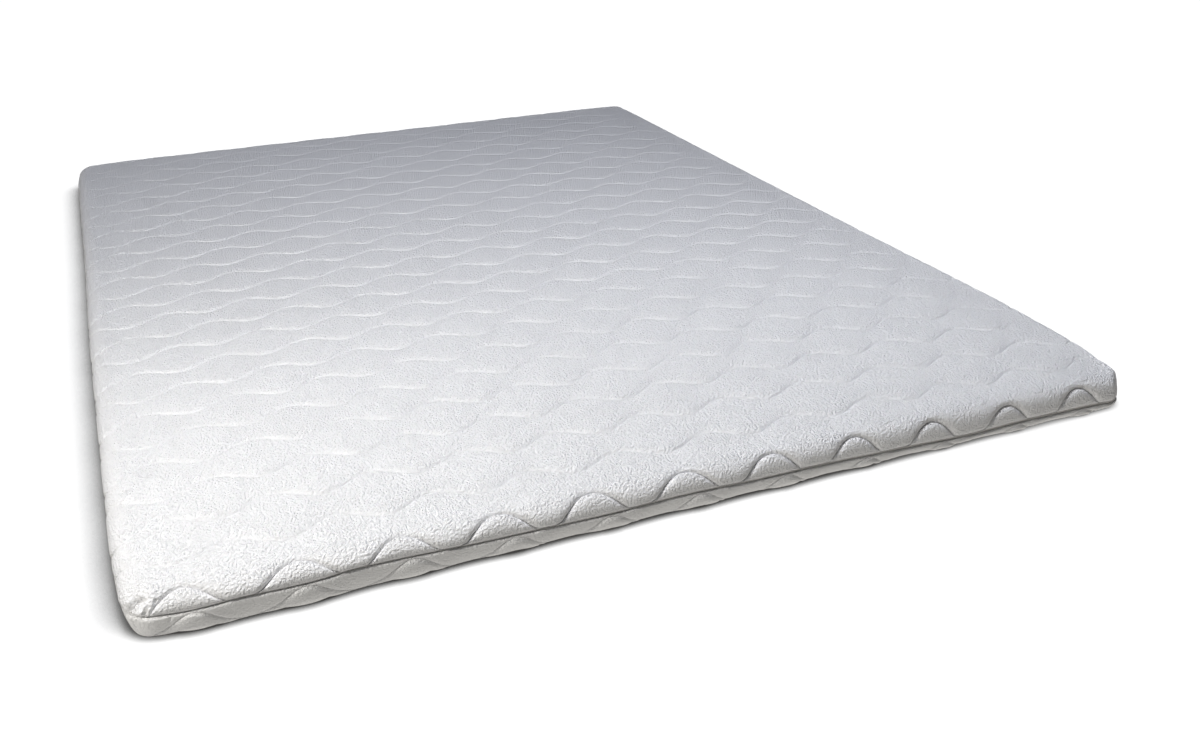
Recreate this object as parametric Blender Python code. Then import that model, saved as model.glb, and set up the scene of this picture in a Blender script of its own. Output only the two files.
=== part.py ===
"""A quilted mattress topper for a 1.5 m by 2.0 m bed, lying flat.

The filled cover is cut as two panels that meet in a seam round the side walls, with a narrow tape
between them. The upper panel is quilted in rows of waves that run across the topper, each row half
a wave out of step with the next, so that the cloth stands up in pointed cells between the rows.

Metres, +Z up. X runs across the topper, Y along it, and the origin is under its middle.
"""

import math

import bmesh
import bpy
from mathutils import Vector

NAME = "mattress_topper"

# Overall size
WIDTH = 1.500
LENGTH = 2.000
THICKNESS = 0.053       # at the shoulders
CROWN = 0.006           # how much higher the middle of the top stands

# Side walls, seen in section
SHOULDER = 0.032        # from the edge of the top out to the widest point of the wall
TUCK = 0.003            # how far the upper panel turns in under its widest point, to the seam
ROLL_LENGTH = 1.07      # cloth of the rolled shoulder, as a multiple of its straight width
LOWER_BULGE = 0.001     # how far the lower panel stands out past the upper one
LOWER_LEAN = 0.003      # how much further in its wall stands at the foot
LOWER_DRAW = 0.4        # part of the corners' draw that its wall takes
BOTTOM_ROUND = 0.007    # how far the lower edge curves in to the flat underside

# Seam tape, in its rebate between the panels
TAPE_SETBACK = 0.0048   # outer face of the tape, in from the widest point
TAPE_DEEP = 0.0108      # inner face of the tape, in from the widest point
CORE_INSET = 0.0195     # from here inward the two panels face each other on a level plane
CORE_LEVEL = 0.024
GAP = 0.0003            # between neighbouring pieces
FACE_GAP = 0.0008       # between the two panels inside the tape

# Quilting: rows of waves
ROW_PITCH = 0.0755
WAVE_PITCH = 0.1340
WAVE_RISE = 0.0140      # from the middle of a row to its crest
FIRST_RISE = 0.0182     # and of the row that runs on the near wall
FIRST_ROW = 0.0700      # row 0, in from the near edge, at the left side
WAVE_START = 0.5330     # a crest of row 0, in from the left edge
ROW_SKEW = -0.0149      # how far a row drops towards the near edge, from left to right
BOW_ALONG = 0.0166      # rows are spread towards the far edge in the middle of the length
BOW_ACROSS = 0.0290     # and each row is arched towards the far edge in the middle of the width
BOW_REACH = 0.060       # part of the length over which the arch grows from the near edge
FIRST_LINE = -1         # the row that runs on the near wall
LAST_LINE = 25          # the row on the far shoulder
STITCH_DEPTH = 0.0020
PUFF = 0.0016
FIRST_DEPTH = 0.0046    # the crease along the first row, on the near wall
FIRST_WIDTH = 0.0052
WALL_PUFF = 0.0042      # the half-moons between that row and the seam
LOWER_PUFF = 0.0016     # the lower panel between its rows, at the left and right walls
LOWER_SWELL = 0.0028    # and from wave to wave, at the near and far walls
SWELL_TURN = 1.25       # where each wave swells most, in half turns after the crest of row 0
COLUMNS_PER_WAVE = 6
ROW_MARGIN = 0.0045     # rows keep this far from the seam
RELIEF_ENDS = 0.88      # part of the way down to the seam where the puffing fades out

# At the four corners: the height of the tape's middle above the floor, how much of the tape shows
# between the panels, the height of the cloth that turns in over it, the width of the flat before
# the shoulder, how far the shoulder turns in degrees, and how far the corner is drawn in
CORNERS = {
    # corner:        (x side, y side, seam, tape, turned in, flat, shoulder turn, drawn in)
    "near_left": (-1, -1, 0.0320, 0.0016, 0.0030, 0.000, 58.0, 0.016),
    "near_right": (1, -1, 0.0110, 0.0044, 0.0022, 0.018, 86.0, 0.004),
    "far_left": (-1, 1, 0.0290, 0.0030, 0.0030, 0.004, 70.0, 0.014),
    "far_right": (1, 1, 0.0200, 0.0040, 0.0030, 0.008, 80.0, 0.006),
}
SEAM, TAPE, TURNED, FLAT, TURN = range(2, 7)    # columns of the table above
CORNER_REACH = 0.075

# How much higher the near seam runs than straight from corner to corner, at fractions along it
NEAR_SEAM = [(0.0, 0.0000), (0.04, -0.0015), (0.095, 0.0030), (0.14, 0.0020), (0.185, 0.0055),
             (0.30, 0.0015), (0.40, 0.0005), (0.48, 0.0038), (0.56, 0.0018), (0.63, 0.0020),
             (0.71, -0.0005), (0.79, -0.0030), (0.87, 0.0008), (0.95, 0.0012), (1.0, -0.0020)]
NEAR_SEAM_REACH = 0.120

# How much higher than its pitch the first row runs on the near wall, at fractions along it
FIRST_LIFT = [(0.0, -0.002), (0.13, 0.004), (0.50, 0.003), (0.66, -0.004), (0.80, -0.011),
              (0.90, -0.011), (1.0, -0.009)]

# How far the waves near the near edge lie to the right of their pitch, at fractions along it
WAVE_SHIFT = [(0.0, 0.000), (0.04, 0.003), (0.13, 0.006), (0.31, -0.008), (0.40, -0.014),
              (0.50, -0.011), (0.80, -0.011), (1.0, -0.006)]
WAVE_SHIFT_REACH = 0.250

# How far each side stands out (+) or in (-) of a straight edge, at fractions along it
SIDES = {
    # side:    [(fraction, outward), ...]
    "left": [(0.0, 0.000), (0.15, -0.001), (0.4, -0.001), (0.7, -0.006), (1.0, -0.008)],
    "right": [(0.0, -0.007), (0.07, -0.002), (0.16, 0.001), (0.4, -0.004), (1.0, -0.003)],
    "near": [(0.0, 0.002), (0.1, 0.004), (0.25, 0.000), (0.7, -0.001), (0.9, 0.001), (1.0, 0.003)],
    "far": [(0.0, 0.000), (0.3, 0.001), (0.6, -0.001), (1.0, 0.001)],
}
SIDE_REACH = 0.250
NEAR_GATHER = 0.0275    # how much shorter the near seam is than the cloth sewn into it
GATHER_CENTRE = 0.20    # the part of the width that the gathering leaves in place
GATHER_REACH = 0.120

# Where the mesh has its columns and rows, apart from those on the stitch lines
WALL_STEPS = (0.30, 0.60, 0.86, 1.0)    # parts of the way down a side wall, to the seam
CELL_PARTS = (0.5,)                     # parts of the way from one stitch line to the next
RIM_PARTS = (0.15, 0.40, 0.80)          # from the near seam up to the first line
NEAR_PARTS = (0.15, 0.50)               # from the first line to the second
FAR_PARTS = (0.3, 0.6, 0.85)            # from the last line down to the far seam

SHARP_ANGLE = math.radians(60.0)
HALF_X = WIDTH / 2 - SHOULDER
HALF_Y = LENGTH / 2 - SHOULDER

CLOTH = {
    # node:        (colour, roughness)
    "upper_panel": ((0.80, 0.80, 0.81), 0.92),
    "lower_panel": ((0.72, 0.72, 0.73), 0.92),
    "seam_tape": ((0.55, 0.55, 0.56), 0.85),
}


def smooth(value):
    """Ease a number between 0 and 1."""
    value = min(1.0, max(0.0, value))
    return value * value * (3.0 - 2.0 * value)


def between(table, fraction):
    """Read a side's table with eased steps between its rows."""
    for (start, first), (end, second) in zip(table, table[1:]):
        if fraction <= end:
            return first + (second - first) * smooth((fraction - start) / (end - start))
    return table[-1][1]


def at_corners(column, x, y):
    """Read a column of the corners' table at a point between them."""
    across = min(1.0, max(0.0, x / WIDTH + 0.5))
    along = min(1.0, max(0.0, y / LENGTH + 0.5))
    value = 0.0
    for row in CORNERS.values():
        share_x = across if row[0] > 0 else 1.0 - across
        share_y = along if row[1] > 0 else 1.0 - along
        value += row[column] * share_x * share_y
    return value


def seam_height(x, y):
    """Height of the middle of the tape above the floor."""
    across = min(1.0, max(0.0, x / WIDTH + 0.5))
    share = smooth(1.0 - (y + HALF_Y) / NEAR_SEAM_REACH)
    return at_corners(SEAM, x, y) + between(NEAR_SEAM, across) * share


def upper_height(x, y):
    """Height of the upper panel's wall."""
    return THICKNESS - seam_height(x, y) - at_corners(TAPE, x, y) / 2


def wall_lengths(x, y):
    """Cloth in the flat before the shoulder, the rolled shoulder and the turn in to the seam."""
    flat = at_corners(FLAT, x, y)
    turned = at_corners(TURNED, x, y)
    roll = ROLL_LENGTH * math.hypot(SHOULDER - flat, upper_height(x, y) - turned)
    return flat, roll, math.pi / 2 / math.sqrt(2.0) * math.hypot(TUCK, turned)


def wall_length(x, y):
    """Cloth from the edge of the top down to the seam."""
    return sum(wall_lengths(x, y))


def uneven(point, draw_share=1.0):
    """Move a point with its side's unevenness and a share of its corner's draw."""
    x, y, z = point
    across = x / WIDTH + 0.5
    along = y / LENGTH + 0.5
    near_x = smooth(1.0 - (WIDTH / 2 - abs(x)) / SIDE_REACH)
    near_y = smooth(1.0 - (LENGTH / 2 - abs(y)) / SIDE_REACH)
    out_x = between(SIDES["right" if x > 0 else "left"], along) * near_x
    out_y = between(SIDES["far" if y > 0 else "near"], across) * near_y
    moved = Vector((x + out_x * math.copysign(1.0, x), y + out_y * math.copysign(1.0, y), z))
    gather = math.exp(-max(0.0, y + LENGTH / 2) / GATHER_REACH)
    moved.x -= NEAR_GATHER * (across - GATHER_CENTRE) * gather
    for corner_x, corner_y, *_, draw in CORNERS.values():
        corner = Vector((corner_x * WIDTH / 2, corner_y * LENGTH / 2))
        away = (Vector((x, y)) - corner).length / CORNER_REACH
        pull = draw_share * draw * math.exp(-away * away) / math.sqrt(2.0)
        moved.x -= corner_x * pull
        moved.y -= corner_y * pull
    return moved


def stitch_line(row, x):
    """How far along the cloth a row of quilting lies, over the walls as well."""
    across = min(1.0, max(0.0, x / WIDTH + 0.5))
    level = FIRST_ROW + ROW_PITCH * row
    along = min(1.0, max(0.0, level / LENGTH))
    arch = (1.0 - abs(2.0 * across - 1.0) ** 3) * (1.0 - math.exp(-along / BOW_REACH))
    level += ROW_SKEW * (across - 0.5)
    level += BOW_ALONG * 4.0 * along * (1.0 - along) + BOW_ACROSS * arch
    rise = WAVE_RISE
    if row == FIRST_LINE:
        level += between(FIRST_LIFT, across)
        rise = FIRST_RISE
    shift = between(WAVE_SHIFT, across) * math.exp(-max(0.0, level) / WAVE_SHIFT_REACH)
    turn = 2.0 * math.pi * (x + WIDTH / 2 - WAVE_START - shift) / WAVE_PITCH
    return level - LENGTH / 2 + rise * math.cos(turn + math.pi * (row % 2))


def row_line(row, x):
    """A row of the mesh on a stitch line, or on the seam past the first and the last line."""
    near_seam = -HALF_Y - wall_length(x, -HALF_Y)
    far_seam = HALF_Y + wall_length(x, HALF_Y)
    if row < FIRST_LINE:
        return near_seam
    if row > LAST_LINE:
        return far_seam
    return min(far_seam - ROW_MARGIN, max(near_seam + ROW_MARGIN, stitch_line(row, x)))


def mesh_rows():
    """Stitch lines and the rows between them, as (line, part of the way to the next line)."""
    parts = {line: CELL_PARTS for line in range(FIRST_LINE - 1, LAST_LINE + 1)}
    parts[FIRST_LINE - 1] = RIM_PARTS
    parts[FIRST_LINE] = NEAR_PARTS
    parts[LAST_LINE] = FAR_PARTS
    rows = [(line, part) for line in parts for part in (0.0, *parts[line])]
    return rows + [(LAST_LINE + 1, 0.0)]


def mesh_columns():
    """Places across the flat of the top, in step with the waves, and down both side walls."""
    step = WAVE_PITCH / COLUMNS_PER_WAVE
    crest = WAVE_START - WIDTH / 2
    limit = HALF_X - step / 3           # no column lies nearer than this to the flat's own edge
    counts = range(math.ceil((-limit - crest) / step), math.floor((limit - crest) / step) + 1)
    inner = [crest + step * count for count in counts]
    left = [(-HALF_X, -part) for part in reversed(WALL_STEPS)]
    right = [(HALF_X, part) for part in WALL_STEPS]
    flat = [(x, 0.0) for x in [-HALF_X] + inner + [HALF_X]]
    return left + flat + right


def unrolled_x(column, y):
    """How far across the cloth a column lies, over the walls as well."""
    x, down = column
    return x + down * wall_length(x, y)


def section(down, x, y):
    """Out, down and slope of the upper wall, at a part of the way from the top to the seam."""
    flat, roll, turn = wall_lengths(x, y)
    low = at_corners(TURNED, x, y)
    high = upper_height(x, y) - low
    across = SHOULDER - flat
    full = math.radians(at_corners(TURN, x, y))
    reach = down * (flat + roll + turn)
    rolled = min(1.0, max(0.0, (reach - flat) / roll)) * full
    turned = min(1.0, max(0.0, (reach - flat - roll) / turn)) * math.pi / 2
    out = min(reach, flat) + across * math.sin(rolled) / math.sin(full)
    out -= TUCK * (1.0 - math.cos(turned))
    drop = high * (1.0 - math.cos(rolled)) / (1.0 - math.cos(full)) + low * math.sin(turned)
    steep = high / across * math.sin(full) / (1.0 - math.cos(full)) * math.tan(rolled)
    return out, drop, math.atan(steep)


def outward(down_x, down_y):
    """Direction in plan in which a point of the walls lies from the flat of the top."""
    size_x = abs(down_x)
    size_y = abs(down_y)
    if max(size_x, size_y) == 0.0:
        return Vector((0.0, 0.0))
    if size_x >= size_y:
        angle = math.pi / 4 * size_y / size_x
    else:
        angle = math.pi / 2 - math.pi / 4 * size_x / size_y
    return Vector((math.copysign(math.cos(angle), down_x), math.copysign(math.sin(angle), down_y)))


def relief(row, x):
    """How far the cloth stands off its mean surface, on and between the stitch lines."""
    line, part = row
    if line > LAST_LINE:
        return 0.0
    room = row_line(line + 1, x) - row_line(line, x)
    if line < FIRST_LINE:
        moon = WALL_PUFF * math.sqrt(room / (2.0 * WAVE_RISE)) * 2.0 * math.sqrt(part * (1.0 - part))
        return moon - FIRST_DEPTH * math.exp(-(1.0 - part) * room / FIRST_WIDTH)
    lift = math.sin(math.pi * part)
    stand = (PUFF + STITCH_DEPTH) * math.sqrt(room / ROW_PITCH) * lift - STITCH_DEPTH
    if line == FIRST_LINE:
        stand -= (FIRST_DEPTH - STITCH_DEPTH) * math.exp(-part * room / FIRST_WIDTH)
    return stand


def cloth_point(column, row):
    """Place of a mesh point of the upper panel, and its base and direction in plan."""
    flat_x, down_x = column
    line, part = row
    guess = max(-HALF_Y, min(HALF_Y, stitch_line(line, flat_x)))
    x = unrolled_x(column, guess)
    y = row_line(line, x) * (1.0 - part) + row_line(line + 1, x) * part
    flat_y = max(-HALF_Y, min(HALF_Y, y))
    down_y = (y - flat_y) / wall_length(flat_x, flat_y)
    down = min(1.0, max(abs(down_x), abs(down_y)))
    facing = outward(down_x, down_y)
    out, drop, slope = section(down, flat_x, flat_y)
    corner = smooth(2.0 * min(abs(down_x), abs(down_y)))
    fade = smooth((down - RELIEF_ENDS) / (1.0 - RELIEF_ENDS))
    stand = relief(row, x) * (1.0 - fade) * (1.0 - corner)
    rise_x = 1.0 - (flat_x / HALF_X) ** 4
    rise_y = 1.0 - (flat_y / HALF_Y) ** 4
    point = Vector((
        flat_x + facing.x * (out + stand * math.sin(slope)),
        flat_y + facing.y * (out + stand * math.sin(slope)),
        THICKNESS - drop + stand * math.cos(slope) + CROWN * rise_x * rise_y,
    ))
    return uneven(point), Vector((flat_x, flat_y)), facing


def rim():
    """Stations of the seam in order: (number, edge of the flat, direction, lower swell)."""
    columns = mesh_columns()
    rows = mesh_rows()
    last_column = len(columns) - 1
    last_row = len(rows) - 1
    path = [(i, 0) for i in range(last_column)]
    path += [(last_column, j) for j in range(last_row)]
    path += [(i, last_row) for i in range(last_column, 0, -1)]
    path += [(0, j) for j in range(last_row, 0, -1)]
    points = {}
    for number, (i, j) in enumerate(path):
        _, base, facing = cloth_point(columns[i], rows[j])
        if j in (0, last_row):
            turn = 2.0 * math.pi * (base.x + WIDTH / 2 - WAVE_START) / WAVE_PITCH
            swell = LOWER_SWELL * math.cos(turn - math.pi * SWELL_TURN) * abs(facing.y) ** 4
        else:
            crown = 1.0 if rows[j][1] > 0.0 else -1.0
            swell = LOWER_PUFF * crown * abs(facing.x) ** 4
        points[(i, j)] = (number, base, facing, swell)
    return points


def rim_point(station, inset, height, share=0.0):
    """A point of a ring round the topper, in from its widest outline, with a share of swell."""
    _, base, facing, swell = station
    out = SHOULDER - inset + share * swell
    draw_share = LOWER_DRAW if share > 0.0 else 1.0
    return uneven(Vector((base.x + facing.x * out, base.y + facing.y * out, height)), draw_share)


def seam_level(station, tape_part=0.0, offset=0.0):
    """Height at a station of the rim: the tape's middle, and a part of its height off that."""
    x, y = station[1]
    return seam_height(x, y) + at_corners(TAPE, x, y) * tape_part + offset


def add_ring(mesh, edges, tag, stations, inset, height, share=0.0):
    """Extrude a loop of edges to a new ring and return the ring's edges."""
    grown = bmesh.ops.extrude_edge_only(mesh, edges=edges)["geom"]
    points = {item for item in grown if isinstance(item, bmesh.types.BMVert)}
    for point in points:
        station = stations[point[tag]]
        point.co = rim_point(station, inset, height(station), share)
    lines = [item for item in grown if isinstance(item, bmesh.types.BMEdge)]
    return [line for line in lines if all(end in points for end in line.verts)]


def finish(mesh, node):
    """Turn a closed mesh into an object of the topper with its own cloth."""
    flat = [face for face in mesh.faces if len(face.verts) > 4]
    bmesh.ops.triangulate(mesh, faces=flat)
    bmesh.ops.recalc_face_normals(mesh, faces=mesh.faces)
    for face in mesh.faces:
        face.smooth = True
    for line in mesh.edges:
        line.smooth = not line.seam and line.calc_face_angle(0.0) < SHARP_ANGLE
    data = bpy.data.meshes.new(node)
    mesh.to_mesh(data)
    mesh.free()
    cloth = bpy.data.materials.new(node)
    cloth.use_nodes = True
    shader = cloth.node_tree.nodes["Principled BSDF"]
    colour, roughness = CLOTH[node]
    shader.inputs["Base Color"].default_value = (*colour, 1.0)
    shader.inputs["Roughness"].default_value = roughness
    shader.inputs["Metallic"].default_value = 0.0
    data.materials.append(cloth)
    return bpy.data.objects.new(node, data)


def make_upper_panel(stations):
    """The quilted top, its walls down to the seam, and the face it turns to the lower panel."""
    columns = mesh_columns()
    rows = mesh_rows()
    mesh = bmesh.new()
    tag = mesh.verts.layers.int.new("station")
    row = mesh.verts.layers.int.new("row")
    bmesh.ops.create_grid(mesh, x_segments=len(columns) - 1, y_segments=len(rows) - 1, size=1.0)
    for point in mesh.verts:
        i = round((point.co.x + 1.0) / 2.0 * (len(columns) - 1))
        j = round((point.co.y + 1.0) / 2.0 * (len(rows) - 1))
        point[tag] = stations[(i, j)][0] if (i, j) in stations else 0
        point[row] = j
        point.co = cloth_point(columns[i], rows[j])[0]
    for line in mesh.edges:
        first, second = (end[row] for end in line.verts)
        line.seam = first == second and rows[first][1] == 0.0
    order = list(stations.values())
    edge = [line for line in mesh.edges if line.is_boundary]
    edge = add_ring(mesh, edge, tag, order, TAPE_DEEP + GAP,
                    lambda station: seam_level(station, 0.5))
    edge = add_ring(mesh, edge, tag, order, TAPE_DEEP + GAP,
                    lambda station: seam_level(station, 0.0, FACE_GAP / 2))
    edge = add_ring(mesh, edge, tag, order, CORE_INSET, lambda station: CORE_LEVEL + FACE_GAP / 2)
    bmesh.ops.contextual_create(mesh, geom=edge)
    return finish(mesh, "upper_panel")


def make_lower_panel(stations):
    """The face it turns to the upper panel, its lip and wall, and the flat underside."""
    order = list(stations.values())
    mesh = bmesh.new()
    tag = mesh.verts.layers.int.new("station")
    bmesh.ops.create_circle(mesh, cap_ends=True, segments=len(order), radius=1.0)
    mesh.verts.ensure_lookup_table()
    for number, station in enumerate(order):
        mesh.verts[number][tag] = number
        mesh.verts[number].co = rim_point(station, CORE_INSET, CORE_LEVEL - FACE_GAP / 2)
    rings = [
        # (inset, part of the seam's height, part of the tape's height, below, share of swell)
        (TAPE_DEEP + GAP, 1.0, 0.0, FACE_GAP / 2, 0.0),
        (TAPE_DEEP + GAP, 1.0, 0.5, 0.0, 0.0),
        (TUCK - LOWER_BULGE, 1.0, 0.5, 0.0, 0.2),
        (-LOWER_BULGE, 0.7, 0.0, 0.0, 0.6),
        (BOTTOM_ROUND / 3 + LOWER_LEAN - LOWER_BULGE, 0.22, 0.0, 0.0, 1.0),
        (BOTTOM_ROUND + LOWER_LEAN - LOWER_BULGE, 0.0, 0.0, 0.0, 1.0),
    ]
    edge = list(mesh.edges)
    for inset, part, tape, below, share in rings:
        edge = add_ring(mesh, edge, tag, order, inset,
                        lambda station: seam_level(station, -tape, -below) * part, share)
    bmesh.ops.contextual_create(mesh, geom=edge)
    return finish(mesh, "lower_panel")


def make_seam_tape(stations):
    """The narrow strip in the rebate between the panels, all the way round."""
    order = list(stations.values())
    mesh = bmesh.new()
    tag = mesh.verts.layers.int.new("station")
    bmesh.ops.create_circle(mesh, segments=len(order), radius=1.0)
    mesh.verts.ensure_lookup_table()
    for number, station in enumerate(order):
        mesh.verts[number][tag] = number
        mesh.verts[number].co = rim_point(station, TAPE_SETBACK, seam_level(station, 0.5, -GAP))
    first = list(mesh.edges)
    edge = first
    for inset, side in ((TAPE_SETBACK, -1), (TAPE_DEEP, -1), (TAPE_DEEP, 1)):
        edge = add_ring(mesh, edge, tag, order, inset,
                        lambda station: seam_level(station, side * 0.5, -side * GAP))
    bmesh.ops.bridge_loops(mesh, edges=first + edge)
    return finish(mesh, "seam_tape")


def stand_on_origin(pieces):
    """Shift all the pieces so that the origin lies on the floor, under the topper's middle."""
    points = [point.co for piece in pieces for point in piece.data.vertices]
    low = Vector([min(point[axis] for point in points) for axis in range(3)])
    high = Vector([max(point[axis] for point in points) for axis in range(3)])
    shift = Vector((-(low.x + high.x) / 2, -(low.y + high.y) / 2, -low.z))
    for piece in pieces:
        for point in piece.data.vertices:
            point.co += shift


def main():
    """Clear the scene and make the topper."""
    for item in list(bpy.data.objects):
        bpy.data.objects.remove(item, do_unlink=True)
    stations = rim()
    pieces = [make_upper_panel(stations), make_seam_tape(stations), make_lower_panel(stations)]
    stand_on_origin(pieces)
    collection = bpy.data.collections.new(NAME)
    bpy.context.scene.collection.children.link(collection)
    for piece in pieces:
        collection.objects.link(piece)


main()
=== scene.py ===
"""The looks of a quilted mattress topper that lies flat on a pale studio floor.

Three pieces are modelled, each in place of one plain solid: the quilted upper panel, the lower
panel, and the narrow tape in the seam between them. Each panel starts as a grid, which is one
unrolled length of quilted cloth, and is wrapped over the filling and down to the seam.

Metres, +Z up. X runs across the topper, Y along it, and the origin is under its middle.
"""

import math
from collections import namedtuple

import bmesh
import bpy
import numpy as np
from bpy.props import FloatProperty, FloatVectorProperty, PointerProperty
from mathutils import Matrix, Vector


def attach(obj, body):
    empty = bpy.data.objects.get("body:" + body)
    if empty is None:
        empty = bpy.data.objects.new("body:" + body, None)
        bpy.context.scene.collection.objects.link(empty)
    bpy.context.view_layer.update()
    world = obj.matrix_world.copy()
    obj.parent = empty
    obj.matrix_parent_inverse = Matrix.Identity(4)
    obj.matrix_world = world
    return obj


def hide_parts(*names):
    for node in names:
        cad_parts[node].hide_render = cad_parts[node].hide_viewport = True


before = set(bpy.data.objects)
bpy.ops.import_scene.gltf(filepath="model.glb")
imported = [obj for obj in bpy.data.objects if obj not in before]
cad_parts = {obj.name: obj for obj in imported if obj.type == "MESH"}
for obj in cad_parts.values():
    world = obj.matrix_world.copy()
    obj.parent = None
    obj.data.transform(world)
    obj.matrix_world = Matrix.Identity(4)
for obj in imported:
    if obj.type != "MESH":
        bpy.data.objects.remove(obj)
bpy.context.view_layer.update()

bl_info = {
    "name": "Quilted Mattress Topper",
    "version": (1, 0, 0),
    "blender": (4, 5, 0),
    "location": "3D View > Sidebar > Topper",
    "description": "Models a quilted mattress topper and a small studio round it",
    "category": "Object",
}

BODY = "root"

# Outline

# At the four corners: the height of the tape's middle above the floor, how much of the tape shows
# between the panels, the height of the cloth that turns in over it, the width of the flat before
# the shoulder, how far the shoulder turns in degrees, and how far the corner is drawn in
CORNERS = {
    # corner:        (x side, y side, seam, tape, turned in, flat, shoulder turn, drawn in)
    "near_left": (-1, -1, 0.0320, 0.0016, 0.0030, 0.000, 58.0, 0.016),
    "near_right": (1, -1, 0.0110, 0.0044, 0.0022, 0.018, 86.0, 0.004),
    "far_left": (-1, 1, 0.0290, 0.0030, 0.0030, 0.004, 70.0, 0.014),
    "far_right": (1, 1, 0.0200, 0.0040, 0.0030, 0.008, 80.0, 0.006),
}
SEAM, TAPE, TURNED, FLAT, TURN = range(2, 7)
CORNER_REACH = 0.075
SEAM_DRAW = 0.6                 # part of the corners' draw that the seam takes

# How much higher the near seam runs than straight from corner to corner, at fractions along it
NEAR_SEAM = ((0.0, 0.0000), (0.04, -0.0015), (0.095, 0.0030), (0.14, 0.0020), (0.185, 0.0055),
             (0.30, 0.0015), (0.40, 0.0005), (0.48, 0.0038), (0.56, 0.0018), (0.63, 0.0020),
             (0.71, -0.0005), (0.79, -0.0030), (0.87, 0.0008), (0.95, 0.0012), (1.0, -0.0020))
NEAR_SEAM_REACH = 0.120

# How far each side stands out (+) or in (-) of a straight edge, at fractions along it
SIDES = {
    "left": ((0.0, 0.000), (0.15, -0.001), (0.4, -0.001), (0.7, -0.006), (1.0, -0.008)),
    "right": ((0.0, -0.007), (0.07, -0.002), (0.16, 0.001), (0.4, -0.004), (1.0, -0.003)),
    "near": ((0.0, 0.002), (0.1, 0.004), (0.25, 0.000), (0.7, -0.001), (0.9, 0.001), (1.0, 0.003)),
    "far": ((0.0, 0.000), (0.3, 0.001), (0.6, -0.001), (1.0, 0.001)),
}
SIDE_REACH = 0.250

# The near end is a little narrower: by how much, about which fraction across, and how far along
NEAR_GATHER = 0.0275
GATHER_CENTRE = 0.20
GATHER_REACH = 0.120

# The near right corner is softer: its place, how far its cloth sinks there, and the reach
SOFT_CORNER = (0.745, -0.985)
SOFT_DEPTH = 0.008
SOFT_REACH = 0.060

# Quilting

# How much higher than its pitch the first line runs on the near wall, at fractions along it, and
# how much higher its waves are
FIRST_LIFT = ((0.0, -0.002), (0.13, 0.004), (0.50, 0.003), (0.66, -0.004), (0.80, -0.011),
              (0.90, -0.009), (1.0, -0.003))
FIRST_RISE = 1.30

# How far the waves near the near edge lie to the right of their pitch, at fractions along it
WAVE_SHIFT = ((0.0, 0.000), (0.04, 0.003), (0.13, 0.006), (0.31, -0.008), (0.40, -0.014),
              (0.50, -0.011), (0.80, -0.011), (1.0, -0.006))
WAVE_SHIFT_REACH = 0.250

# How strong the quilting stands out, at fractions along the topper from its near edge
QUILT_STRENGTH = ((0.0, 1.0), (0.10, 1.20), (0.35, 1.15), (0.75, 0.60), (1.0, 0.40))
# And how strong across it, past the near shoulder: it runs out towards both sides
QUILT_ACROSS = ((0.0, 0.20), (0.03, 0.50), (0.08, 0.85), (0.15, 1.00), (0.92, 1.00),
                (0.98, 0.25), (1.0, 0.15))
QUILT_SETS_IN = 0.050           # from the near shoulder, over which that sets in

CREASE_WIDTH = 0.0018           # of the crease along a row of stitches
PILLOW_WIDTH = 0.0050           # of the cloth's rise from the crease to the pillow beside it
ROLL_LENGTH = 1.07              # cloth round a shoulder, as a part of the straight way

# The lower panel's cloth stands out in a lip at the near left corner
LIP_PLACE = (-0.718, -0.930)
LIP_REACH = 0.050

# Folds at the near left corner: points along each, its width, and its depth
UPPER_FOLDS = (
    (((-0.7326, -0.9796, 0.0360), (-0.7250, -0.9775, 0.0435), (-0.7138, -0.9808, 0.0465)),
     0.0026, 0.0048),
    (((-0.7046, -0.9866, 0.0460), (-0.7185, -0.9920, 0.0345)), 0.0020, 0.0040),
    (((-0.7210, -0.9860, 0.0400), (-0.7240, -0.9782, 0.0430)), 0.0022, 0.0014),
    (((-0.7156, -0.9876, 0.0420), (-0.7220, -0.9905, 0.0360)), 0.0030, -0.0020),
    (((-0.7313, -0.9663, 0.0440), (-0.7331, -0.9751, 0.0400)), 0.0035, -0.0016),
)
LOWER_FOLDS = (
    (((-0.7286, -0.9921, 0.0300), (-0.7310, -0.9885, 0.0040)), 0.0016, 0.0026),
    (((-0.7230, -0.9970, 0.0260), (-0.6996, -1.0026, 0.0270)), 0.0040, -0.0022),
    (((-0.6912, -1.0015, 0.0280), (-0.7022, -1.0002, 0.0150), (-0.7211, -0.9961, 0.0040)),
     0.0018, 0.0030),
    (((-0.7141, -0.9981, 0.0040), (-0.6828, -1.0028, 0.0160), (-0.6385, -1.0064, 0.0260)),
     0.0016, -0.0012),
)

# Seam

TAPE_CLEAR = 0.0003             # between the tape and the cloth round it
TAPE_EDGES = 0.0036             # how far in from the outline the tape's two edges lie
# Its slightly rounded face: in from the outline, and at which part of its half height
TAPE_FACE = ((0.0029, 0.6), (0.0026, 0.0), (0.0029, -0.6))
TAPE_DEEP = 0.0108              # how far in from the outline its hidden back lies
PANELS_PART = 0.0004            # from the seam's middle to a panel's inner face, behind the tape
INNER_INSET = 0.0195            # from there on the inner faces are level
UPPER_INNER = 0.0244
LOWER_INNER = 0.0236

# Grid of the cloth: columns down a side wall, fine ones at the left of the flat, and the widths of
# the fine ones and of the rest
WALL_COLUMNS = 12
FINE_COLUMNS = 16
FINE_WIDTH = 0.0030
COARSE_WIDTH = 0.0080
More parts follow.
